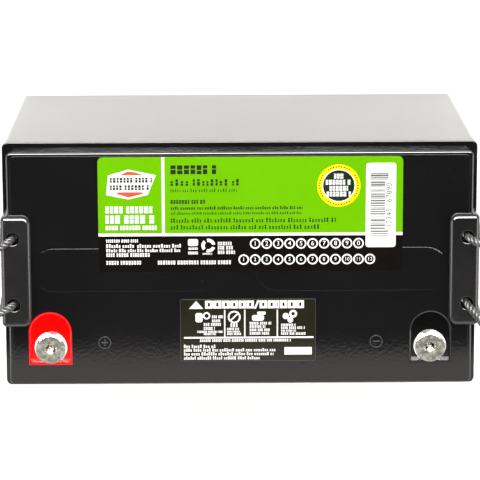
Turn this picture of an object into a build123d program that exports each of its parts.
"""Sealed 12 V deep cycle battery with rope handles.

Frame: +Z up, origin at the centre of the base. Cells run along X, both terminals are at -Y,
the positive one at -X. Millimetres.
"""

from build123d import *
import math
import os

# Cover and case
COVER_LENGTH = 330.0
COVER_WIDTH = 173.5
COVER_CORNER = 4.0
FACE_TOP = 217.0
LEDGE_TOP = 206.5
LEDGE_X = 3.5
LEDGE_BACK = 5.3
LEDGE_FRONT = 2.8
LEDGE_FILLET = 0.5
FACE_CORNER = 3.5
FACE_FILLET = 1.3
BORDER_INSET = 2.4
BORDER_CORNER = 4.0
BORDER_STEP = 0.15
BORDER_FILLET = 0.12
ROOF = 3.0
PARTING = 193.3
CASE_INSET = 0.7
CASE_WALL = 3.0
CASE_FLOOR = 3.5
CASE_FOOT_FILLET = 2.0
CELLS = 6
PARTITION = 2.4

# Tongue on the case wall, and the groove in the cover that takes it
TONGUE_INSET = 0.9
TONGUE = 1.3
TONGUE_HEIGHT = 4.0
GROOVE_PLAY = 0.3
GROOVE_ROOM = 1.0
COVER_LIP = 1.0

# Valves and the two plates over them
VENT_LENGTH = 135.0
VENT_WIDTH = 31.4
VENT_X = 77.5
VENT_Y = -1.7
VENT_PLATE = 2.2
VENT_FILLET = 0.2
VENT_PLAY = 0.3
VENT_SHELF = 1.5
VENT_FLOOR = 207.0
VENT_WALL = 2.0
VALVE_PITCH = 47.5
BOSS_RADIUS = 5.0
BOSS_BORE = 2.5
BOSS_HEIGHT = 4.5
CAP_RADIUS = 7.0
CAP_PLAY = 0.05
CAP_TOP = 1.2
CAP_HEIGHT = 4.6
CAP_REST_GAP = 0.3
CAP_LIFT = 0.8
CAP_FILLET = 0.4
STOP_RADIUS = 4.0

# Terminals
TERMINAL_X = 133.0
TERMINAL_Y = -58.3
WELL_RADIUS = 13.3
WELL_WALL = 1.8
WELL_ARCH_Y = -46.6
WELL_FLAT_Y = -67.8
WELL_DEPTH = 5.0
WELL_FLOOR = 2.5
WELL_RIM = 1.5
SLEEVE = 2.5
FLANGE_RADIUS = 11.35
FLANGE = 1.1
FLANGE_NOTCH = 7.4
FLANGE_TURN = {"positive": -7, "negative": 15}
FLANGE_PLAY = 0.3
STEM_RADIUS = 7.0
SEAL_RADIUS = 10.0
SEAL = 2.5
DISC_RADIUS = 10.45
DISC_PLAY = 0.2
DISC_BEVEL = (1.3, 0.35)
DISC_TOP = 217.3
THREAD_RADIUS = 3.4
THREAD_DEPTH = 16.0
THREAD_END = 2.0
THREAD_MOUTH = 4.2
SHANK_RADIUS = 5.5

# Handle brackets
BRACKET_INNER = 145.3
BRACKET_OUTER = 166.2
BRACKET_Y = -2.1
BRACKET_WIDTH = 79.2
BRACKET_TOP = 221.0
BRACKET_INNER_CORNER = 6.0
BRACKET_OUTER_CORNER = 3.4
BRACKET_WALL = 2.2
BRACKET_FILLET = 3.2
BRACKET_ROOM_TOP = 217.5
NOTCH_INNER = 148.6
NOTCH_WIDTH = 74.4
ROPE_HOLE_X = 157.7
ROPE_HOLES_Y = (21.5, -25.6)
ROPE_HOLE_RADIUS = 4.25
ROPE_HOLE_FILLET = 0.8

# Rope handles
ROPE_RADIUS = 2.75
KNOT_RADIUS = 4.8
KNOT_X = 156.8
KNOT_Z = 212.0
ROPE_OVER = 224.2
ROPE_SIDE_X = 169.6
ROPE_END_GAP = 0.4

# Labels
LABEL_THICKNESS = 0.2
LABEL_SIZE = (211.0, 81.6)
LABEL_CENTRE = (7.2, 37.35)
LABEL_CORNER = 3.5
HAZARD_SIZE = (95.2, 45.0)
HAZARD_CENTRE = (5.25, -45.2)
HAZARD_CORNER = 1.5
BARCODE_SIZE = (20.8, 59.5)
BARCODE_CENTRE = (97.5, 43.65)
BARCODE_CORNER = 2.0

# Polarity marks moulded on the cover
MARK_X = 95.0
MARK_Y = -53.8
MARK_RADIUS = 4.6
MARK_HEIGHT = 0.3
MARK_STROKE = 0.8

# Plates and straps in each cell
POSITIVES = 6
NEGATIVES = 7
POSITIVE_PLATE = 3.2
NEGATIVE_PLATE = 2.2
CELL_PLAY = 0.6
PLATE_WIDTH = 158.0
PLATE_BOTTOM = 7.0
PLATE_TOP = 166.0
SEPARATOR_OVER = 2.0
LUG_WIDTH = 12.0
LUG_Y = 58.3
STRAP_BOTTOM = 174.0
STRAP_TOP = 180.0
STRAP_WIDTH = 17.0
STRAP_TAB = 3.0
STRAP_TAB_TOP = 191.0
WELD_RADIUS = 5.0
WELD_Z = 185.5

CASE_LENGTH = COVER_LENGTH - 2 * CASE_INSET
CASE_WIDTH = COVER_WIDTH - 2 * CASE_INSET
CASE_CORNER = COVER_CORNER - CASE_INSET
INNER_WIDTH = CASE_WIDTH - 2 * CASE_WALL
CELL_PITCH = (CASE_LENGTH - 2 * CASE_WALL + PARTITION) / CELLS
CELL_ROOM = CELL_PITCH - PARTITION
FACE_LENGTH = COVER_LENGTH - 2 * LEDGE_X
FACE_WIDTH = COVER_WIDTH - LEDGE_BACK - LEDGE_FRONT
FACE_Y = (LEDGE_FRONT - LEDGE_BACK) / 2
FLOOR_TOP = FACE_TOP - WELL_DEPTH
WELL_BOTTOM = FLOOR_TOP - WELL_FLOOR
FLANGE_TOP = FLOOR_TOP + FLANGE
SIDES = {"left": -1, "right": 1}
POLES = {"positive": -1, "negative": 1}


def block(x_size, y_size, low, high, x=0.0, y=0.0):
    """A box standing between two heights, centred at x, y."""
    return Pos(x, y, (low + high) / 2) * Box(x_size, y_size, high - low)


def rounded(x_size, y_size, corner, low, high, x=0.0, y=0.0):
    """A box with rounded upright edges."""
    return Pos(x, y, low) * extrude(RectangleRounded(x_size, y_size, corner), high - low)


def disc(radius, low, high, x=0.0, y=0.0):
    return Pos(x, y, (low + high) / 2) * Cylinder(radius, high - low)


def stadium(length, width, low, high, x, y):
    return Pos(x, y, low) * extrude(SlotOverall(length, width), high - low)


def arch(grow, low, high, x):
    """The terminal well's outline, grown outwards: round towards +Y and flat towards -Y."""
    radius = WELL_RADIUS + grow
    flat = WELL_FLAT_Y - grow
    straight = WELL_ARCH_Y - flat
    outline = Pos(0, WELL_ARCH_Y) * Circle(radius)
    outline += Pos(0, flat + straight / 2) * Rectangle(2 * radius, straight)
    return Pos(x, 0, low) * extrude(outline, high - low)


def top_edges(part, height):
    return [e for e in part.edges() if abs(e.center().Z - height) < 0.01]


def cell_x(cell):
    return (cell - (CELLS - 1) / 2) * CELL_PITCH


def positive_side(cell):
    """The side, -1 or 1 along Y, that the cell's positive strap is on."""
    return -1 if cell % 2 == 0 else 1


def export(shape, name):
    export_step(shape, f"parts/{name}.step")


def ring(inset, width, low, high):
    """A band that follows the case wall, its outer face inset from the case's."""
    outer = rounded(
        CASE_LENGTH - 2 * inset, CASE_WIDTH - 2 * inset, CASE_CORNER - inset, low, high
    )
    inside = inset + width
    inner = rounded(
        CASE_LENGTH - 2 * inside, CASE_WIDTH - 2 * inside, CASE_CORNER - inside, low, high
    )
    return outer - inner


def weld_holes():
    """The five round holes through the partitions, each on the side its straps are on."""
    holes = []
    for cell in range(CELLS - 1):
        x = cell_x(cell) + CELL_PITCH / 2
        y = -positive_side(cell) * LUG_Y
        holes.append(Pos(x, y, WELD_Z) * Rot(0, 90, 0) * Cylinder(WELD_RADIUS, PARTITION))
    return holes


def make_case():
    body = rounded(CASE_LENGTH, CASE_WIDTH, CASE_CORNER, 0, PARTING)
    body = fillet(top_edges(body, 0), CASE_FOOT_FILLET)
    for cell in range(CELLS):
        body -= block(CELL_ROOM, INNER_WIDTH, CASE_FLOOR, PARTING, cell_x(cell))
    for hole in weld_holes():
        body -= hole
    return body + ring(TONGUE_INSET, TONGUE, PARTING, PARTING + TONGUE_HEIGHT)


def groove():
    return ring(
        TONGUE_INSET - GROOVE_PLAY,
        TONGUE + 2 * GROOVE_PLAY,
        PARTING,
        PARTING + TONGUE_HEIGHT + GROOVE_ROOM,
    )


def valve_places():
    return [
        (side * VENT_X + step * VALVE_PITCH, VENT_Y)
        for side in (-1, 1)
        for step in (-1, 0, 1)
    ]


def raised_face():
    """The face above the ledge, with a low step a little inside its rounded edge."""
    rim = FACE_TOP - BORDER_STEP
    face = rounded(FACE_LENGTH, FACE_WIDTH, FACE_CORNER, PARTING, rim, 0, FACE_Y)
    face = fillet(top_edges(face, rim), FACE_FILLET)
    middle = rounded(
        FACE_LENGTH - 2 * BORDER_INSET,
        FACE_WIDTH - 2 * BORDER_INSET,
        BORDER_CORNER,
        PARTING,
        FACE_TOP,
        0,
        FACE_Y,
    )
    return face + fillet(top_edges(middle, FACE_TOP), BORDER_FILLET)


def make_cover():
    body = rounded(COVER_LENGTH, COVER_WIDTH, COVER_CORNER, PARTING, LEDGE_TOP)
    body = fillet(top_edges(body, LEDGE_TOP), LEDGE_FILLET)
    body += raised_face()
    body -= hollow()
    body -= groove()
    reach = COVER_LENGTH / 2 - NOTCH_INNER
    for side in SIDES.values():
        notch_x = side * (NOTCH_INNER + reach / 2)
        body -= block(reach, NOTCH_WIDTH, LEDGE_TOP, FACE_TOP, notch_x, BRACKET_Y)
        body -= stadium(
            VENT_LENGTH, VENT_WIDTH, FACE_TOP - VENT_PLATE, FACE_TOP, side * VENT_X, VENT_Y
        )
        body -= stadium(
            VENT_LENGTH - 2 * VENT_SHELF,
            VENT_WIDTH - 2 * VENT_SHELF,
            VENT_FLOOR,
            FACE_TOP - VENT_PLATE,
            side * VENT_X,
            VENT_Y,
        )
        body -= arch(WELL_WALL, WELL_BOTTOM, FACE_TOP, side * TERMINAL_X)
    for x, y in valve_places():
        body += disc(BOSS_RADIUS, VENT_FLOOR, VENT_FLOOR + BOSS_HEIGHT, x, y)
        body -= disc(BOSS_BORE, VENT_FLOOR - ROOF, VENT_FLOOR + BOSS_HEIGHT, x, y)
    return body + polarity_marks()


def hollow():
    """The space under the cover, one bay over each cell, around what hangs from the roof."""
    bays = Part()
    for cell in range(CELLS):
        bays += block(CELL_ROOM, COVER_WIDTH, PARTING, FACE_TOP - ROOF, cell_x(cell))
    lip = 2 * (CASE_WALL + COVER_LIP)
    room = block(CASE_LENGTH - lip, CASE_WIDTH - lip, PARTING, LEDGE_TOP - ROOF)
    low, high = LEDGE_TOP - ROOF, FACE_TOP - ROOF
    raised = block(FACE_LENGTH - 2 * ROOF, FACE_WIDTH - 2 * ROOF, low, high, 0, FACE_Y)
    reach = COVER_LENGTH / 2 - NOTCH_INNER + ROOF
    for side in SIDES.values():
        middle = side * (COVER_LENGTH / 2 - reach / 2)
        raised -= block(reach, NOTCH_WIDTH + 2 * ROOF, low, high, middle, BRACKET_Y)
    room += raised
    for side in SIDES.values():
        room -= stadium(
            VENT_LENGTH + 2 * VENT_WALL,
            VENT_WIDTH + 2 * VENT_WALL,
            VENT_FLOOR - ROOF,
            FACE_TOP,
            side * VENT_X,
            VENT_Y,
        )
        room -= arch(WELL_WALL + SLEEVE, WELL_BOTTOM, FACE_TOP, side * TERMINAL_X)
    return bays & room


def polarity_marks():
    """A raised ring with a plus at the positive end, and one with a minus at the other."""
    marks = Part()
    for pole in POLES.values():
        mark = disc(MARK_RADIUS, FACE_TOP, FACE_TOP + MARK_HEIGHT)
        mark -= disc(MARK_RADIUS - MARK_STROKE, FACE_TOP, FACE_TOP + MARK_HEIGHT)
        mark += block(MARK_RADIUS, MARK_STROKE, FACE_TOP, FACE_TOP + MARK_HEIGHT)
        if pole < 0:
            mark += block(MARK_STROKE, MARK_RADIUS, FACE_TOP, FACE_TOP + MARK_HEIGHT)
        marks += Pos(pole * MARK_X, MARK_Y, 0) * mark
    return marks


def make_seal():
    """The bead of epoxy that fills the groove around the tongue."""
    return groove() - ring(TONGUE_INSET, TONGUE, PARTING, PARTING + TONGUE_HEIGHT)


def make_vent_plate(side):
    plate = stadium(
        VENT_LENGTH - 2 * VENT_PLAY,
        VENT_WIDTH - 2 * VENT_PLAY,
        FACE_TOP - VENT_PLATE,
        FACE_TOP,
        side * VENT_X,
        VENT_Y,
    )
    plate = fillet(top_edges(plate, FACE_TOP), VENT_FILLET)
    cap_rest = VENT_FLOOR + BOSS_HEIGHT + CAP_REST_GAP + CAP_TOP
    for x, y in valve_places():
        if x * side > 0:
            stop = cap_rest + CAP_LIFT + CAP_REST_GAP
            plate += disc(STOP_RADIUS, stop, FACE_TOP - VENT_PLATE, x, y)
    return plate


def make_valve_cap(x, y):
    """A rubber cup over its boss, lifted by gas in the cell."""
    roof = VENT_FLOOR + BOSS_HEIGHT + CAP_REST_GAP
    top = roof + CAP_TOP
    cap = disc(CAP_RADIUS, top - CAP_HEIGHT, top, x, y)
    cap = fillet(top_edges(cap, top), CAP_FILLET)
    return cap - disc(BOSS_RADIUS + CAP_PLAY, top - CAP_HEIGHT, roof, x, y)


def make_well(pole):
    """A shallow dish with a floor round the stem, its straight wall cut back for the disc."""
    x = pole * TERMINAL_X
    well = arch(WELL_WALL, WELL_BOTTOM, FACE_TOP, x)
    well -= arch(0, FLOOR_TOP, FACE_TOP, x)
    rim = [e for e in top_edges(well, FACE_TOP) if e.length > 5]
    inner_arc = [e for e in rim if e.geom_type == GeomType.CIRCLE]
    inner_arc = min(inner_arc, key=lambda e: e.radius)
    well = fillet(inner_arc, WELL_RIM)
    well -= disc(DISC_RADIUS + DISC_PLAY, FLOOR_TOP, FACE_TOP, x, TERMINAL_Y)
    return well - disc(STEM_RADIUS, WELL_BOTTOM, FLOOR_TOP, x, TERMINAL_Y)


def insert_solid(x):
    """The insert without its hole: a bevelled disc on top and a shank cast into the post."""
    head = disc(DISC_RADIUS, FLANGE_TOP, DISC_TOP, x, TERMINAL_Y)
    bevel, drop = DISC_BEVEL
    slope = Pos(x, TERMINAL_Y, DISC_TOP - drop / 2) * Cone(DISC_RADIUS, DISC_RADIUS - bevel, drop)
    head -= disc(DISC_RADIUS, DISC_TOP - drop, DISC_TOP, x, TERMINAL_Y) - slope
    shank_bottom = DISC_TOP - THREAD_DEPTH - THREAD_END
    return head + disc(SHANK_RADIUS, shank_bottom, FLANGE_TOP, x, TERMINAL_Y)


def make_insert(pole):
    x = pole * TERMINAL_X
    insert = insert_solid(x)
    insert -= disc(THREAD_RADIUS, DISC_TOP - THREAD_DEPTH, DISC_TOP, x, TERMINAL_Y)
    mouth = THREAD_MOUTH - THREAD_RADIUS
    cone = Pos(x, TERMINAL_Y, DISC_TOP - mouth / 2) * Cone(THREAD_RADIUS, THREAD_MOUTH, mouth)
    return insert - cone


def make_post(name):
    """Lead post: a stem up from the strap, and a notched flange under the insert's disc."""
    x = POLES[name] * TERMINAL_X
    notch_reach = 2 * (FLANGE_RADIUS - DISC_RADIUS + DISC_PLAY)
    post = disc(STEM_RADIUS, STRAP_TOP, FLOOR_TOP, x, TERMINAL_Y)
    flange = disc(FLANGE_RADIUS, FLOOR_TOP, FLANGE_TOP, x, TERMINAL_Y)
    notch = block(FLANGE_NOTCH, notch_reach, FLOOR_TOP, FLANGE_TOP, 0, FLANGE_RADIUS)
    flange -= Pos(x, TERMINAL_Y, 0) * Rot(0, 0, FLANGE_TURN[name]) * notch
    kept = 2 * FLANGE_RADIUS
    kept_y = WELL_FLAT_Y + FLANGE_PLAY + kept / 2
    post += flange & block(kept, kept, FLOOR_TOP, FLANGE_TOP, x, kept_y)
    return post - insert_solid(x)


def make_terminal_seal(pole):
    """A rubber ring round the stem, pressed up against the well's floor."""
    x = pole * TERMINAL_X
    outer = disc(SEAL_RADIUS, WELL_BOTTOM - SEAL, WELL_BOTTOM, x, TERMINAL_Y)
    return outer - disc(STEM_RADIUS, WELL_BOTTOM - SEAL, WELL_BOTTOM, x, TERMINAL_Y)


def bracket_outline(low, high):
    """A prism with large corners towards the middle of the cover and small outer ones."""
    length = BRACKET_OUTER - BRACKET_INNER
    middle = (BRACKET_OUTER + BRACKET_INNER) / 2
    prism = block(length, BRACKET_WIDTH, low, high, middle, BRACKET_Y)
    upright = prism.edges().filter_by(Axis.Z)
    prism = fillet([e for e in upright if e.center().X < middle], BRACKET_INNER_CORNER)
    upright = prism.edges().filter_by(Axis.Z)
    return fillet([e for e in upright if e.center().X > BRACKET_OUTER - 0.1], BRACKET_OUTER_CORNER)


def make_bracket(side):
    """A cap over the pocket in the cover that holds the two rope knots."""
    bracket = bracket_outline(FACE_TOP, BRACKET_TOP)
    bracket = fillet(top_edges(bracket, BRACKET_TOP), BRACKET_FILLET)
    box_length = BRACKET_OUTER - NOTCH_INNER
    box_middle = BRACKET_OUTER - box_length / 2
    end_length = BRACKET_OUTER - FACE_LENGTH / 2
    end_middle = BRACKET_OUTER - end_length / 2
    below = block(box_length, NOTCH_WIDTH, LEDGE_TOP, FACE_TOP, box_middle, BRACKET_Y)
    below += block(end_length, BRACKET_WIDTH, LEDGE_TOP, FACE_TOP, end_middle, BRACKET_Y)
    bracket += below & bracket_outline(LEDGE_TOP, FACE_TOP)
    bracket -= block(
        box_length - 2 * BRACKET_WALL,
        NOTCH_WIDTH - 2 * BRACKET_WALL,
        LEDGE_TOP,
        BRACKET_ROOM_TOP,
        box_middle,
        BRACKET_Y,
    )
    for y in ROPE_HOLES_Y:
        bracket -= disc(ROPE_HOLE_RADIUS, FACE_TOP, BRACKET_TOP, ROPE_HOLE_X, y)
    mouths = [
        e
        for e in top_edges(bracket, BRACKET_TOP)
        if e.geom_type == GeomType.CIRCLE and abs(e.radius - ROPE_HOLE_RADIUS) < 0.01
    ]
    bracket = fillet(mouths, ROPE_HOLE_FILLET)
    return bracket if side > 0 else bracket.mirror(Plane.YZ)


# Where each rope crosses the bracket's outer edge, and its loop, as (Y, Z), from one end to the other
ROPE_LOOPS = {
    "left": (
        (14.7, ROPE_OVER),
        (14.9, 210.0),
        (15.8, 188.2),
        (15.1, 161.2),
        (8.3, 140.2),
        (-5.2, 129.7),
        (-20.7, 129.2),
        (-33.7, 139.7),
        (-40.2, 160.7),
        (-38.8, 188.0),
        (-34.4, 209.8),
        (-30.5, ROPE_OVER),
    ),
    "right": (
        (15.0, ROPE_OVER),
        (16.6, 210.0),
        (18.9, 188.0),
        (17.2, 160.4),
        (9.2, 139.0),
        (-4.8, 128.6),
        (-21.0, 128.2),
        (-35.0, 138.4),
        (-42.6, 159.8),
        (-43.4, 187.6),
        (-42.4, 209.8),
        (-41.0, ROPE_OVER),
    ),
}


def corner_radii(points):
    """For each corner, the largest radius that its two runs leave room for."""
    vectors = [Vector(*p) for p in points]
    radii = []
    for before, here, after in zip(vectors, vectors[1:], vectors[2:]):
        turn = math.radians((here - before).get_angle(after - here))
        shorter = min((here - before).length, (after - here).length)
        radii.append(0.45 * shorter / math.tan(turn / 2))
    return radii


def tube(points, name):
    """A round tube along straight runs joined by tangent arcs."""
    radii = corner_radii(points)
    path = FilletPolyline(*points, radius=radii)
    section = Plane(origin=path @ 0, z_dir=path % 0) * Circle(ROPE_RADIUS)
    shape = sweep(section, path=path)
    expected = math.pi * ROPE_RADIUS**2 * path.length
    print(name, "radii", [round(r, 1) for r in radii])
    print(name, "length", round(path.length, 1), "volume share", round(shape.volume / expected, 4))
    return shape


def make_rope_loop(name):
    """The part of the rope outside the bracket, a loop that hangs beside the end wall."""
    x = SIDES[name] * ROPE_SIDE_X
    points = [(x, y, z) for y, z in ROPE_LOOPS[name]]
    loop = tube(points, f"rope_handle_{name}")
    for point in (points[0], points[-1]):
        loop += Pos(*point) * Sphere(ROPE_RADIUS)
    return loop


def make_rope_ends(name):
    """The two knotted ends, from inside the bracket out of its holes to the edge."""
    side = SIDES[name]
    ends = []
    crossings = (ROPE_LOOPS[name][0][0], ROPE_LOOPS[name][-1][0])
    for hole_y, edge_y in zip(ROPE_HOLES_Y, crossings):
        hole = Vector(side * ROPE_HOLE_X, hole_y, ROPE_OVER)
        pivot = Vector(side * ROPE_SIDE_X, edge_y, ROPE_OVER)
        end = pivot - (pivot - hole).normalized() * (ROPE_RADIUS + ROPE_END_GAP)
        knot = Vector(side * KNOT_X, hole_y, KNOT_Z)
        points = [(hole.X, hole.Y, KNOT_Z), tuple(hole), tuple(end)]
        rope = tube(points, f"rope_ends_{name}")
        ends.append(rope + Pos(*knot) * Sphere(KNOT_RADIUS))
    return Compound(ends)


def make_sheet(size, centre, corner, low):
    return rounded(*size, corner, low, low + LABEL_THICKNESS, *centre)


def stack(cell):
    """Middle and thickness along X of every plate, and of the separators between them."""
    room = CELL_ROOM - 2 * CELL_PLAY
    plates = POSITIVES * POSITIVE_PLATE + NEGATIVES * NEGATIVE_PLATE
    gap = (room - plates) / (POSITIVES + NEGATIVES - 1)
    at = cell_x(cell) - room / 2
    positives = []
    negatives = []
    separators = []
    for number in range(POSITIVES + NEGATIVES):
        is_negative = number % 2 == 0
        thickness = NEGATIVE_PLATE if is_negative else POSITIVE_PLATE
        (negatives if is_negative else positives).append((at + thickness / 2, thickness))
        at += thickness
        if number < POSITIVES + NEGATIVES - 1:
            separators.append((at + gap / 2, gap))
            at += gap
    return positives, negatives, separators


def make_plates(places, side):
    """Grid plates, each with a lug on top that reaches its strap."""
    return Compound(
        [
            block(thickness, PLATE_WIDTH, PLATE_BOTTOM, PLATE_TOP, x)
            + block(thickness, LUG_WIDTH, PLATE_TOP, STRAP_BOTTOM, x, side * LUG_Y)
            for x, thickness in places
        ]
    )


def make_separators(places):
    return Compound(
        [
            block(
                thickness,
                PLATE_WIDTH + 2 * SEPARATOR_OVER,
                PLATE_BOTTOM - SEPARATOR_OVER,
                PLATE_TOP + SEPARATOR_OVER,
                x,
            )
            for x, thickness in places
        ]
    )


def make_strap(cell, places, side, neighbour):
    """A bar over the lugs, with an upright tab on the partition it is welded through."""
    low = places[0][0] - places[0][1] / 2
    high = places[-1][0] + places[-1][1] / 2
    wall = cell_x(cell) + neighbour * CELL_ROOM / 2
    if neighbour < 0:
        low = wall
    if neighbour > 0:
        high = wall
    y = side * LUG_Y
    strap = block(high - low, STRAP_WIDTH, STRAP_BOTTOM, STRAP_TOP, (low + high) / 2, y)
    if neighbour:
        tab_x = wall - neighbour * STRAP_TAB / 2
        strap += block(STRAP_TAB, STRAP_WIDTH, STRAP_TOP, STRAP_TAB_TOP, tab_x, y)
    return strap


os.makedirs("parts", exist_ok=True)

export(make_case(), "case")
export(make_cover(), "cover")
export(make_seal(), "cover_seal")
for name, side in SIDES.items():
    export(make_vent_plate(side), f"vent_plate_{name}")
    export(make_bracket(side), f"handle_bracket_{name}")
    export(make_rope_loop(name), f"rope_handle_{name}")
    export(make_rope_ends(name), f"rope_ends_{name}")
for number, place in enumerate(valve_places(), 1):
    export(make_valve_cap(*place), f"valve_cap_{number}")
for name, pole in POLES.items():
    export(make_well(pole), f"terminal_well_{name}")
    export(make_post(name), f"terminal_post_{name}")
    export(make_insert(pole), f"terminal_insert_{name}")
    export(make_terminal_seal(pole), f"terminal_seal_{name}")
export(make_sheet(LABEL_SIZE, LABEL_CENTRE, LABEL_CORNER, FACE_TOP), "main_label")
export(make_sheet(HAZARD_SIZE, HAZARD_CENTRE, HAZARD_CORNER, FACE_TOP), "hazard_label")
export(
    make_sheet(BARCODE_SIZE, BARCODE_CENTRE, BARCODE_CORNER, FACE_TOP + LABEL_THICKNESS),
    "barcode_sticker",
)
export(Compound(weld_holes()), "intercell_welds")
for cell in range(CELLS):
    positives, negatives, separators = stack(cell)
    side = positive_side(cell)
    export(make_plates(positives, side), f"positive_plates_{cell + 1}")
    export(make_plates(negatives, -side), f"negative_plates_{cell + 1}")
    export(make_separators(separators), f"separators_{cell + 1}")
    before = -1 if cell > 0 else 0
    after = 1 if cell < CELLS - 1 else 0
    export(make_strap(cell, positives, side, before), f"positive_strap_{cell + 1}")
    export(make_strap(cell, negatives, -side, after), f"negative_strap_{cell + 1}")
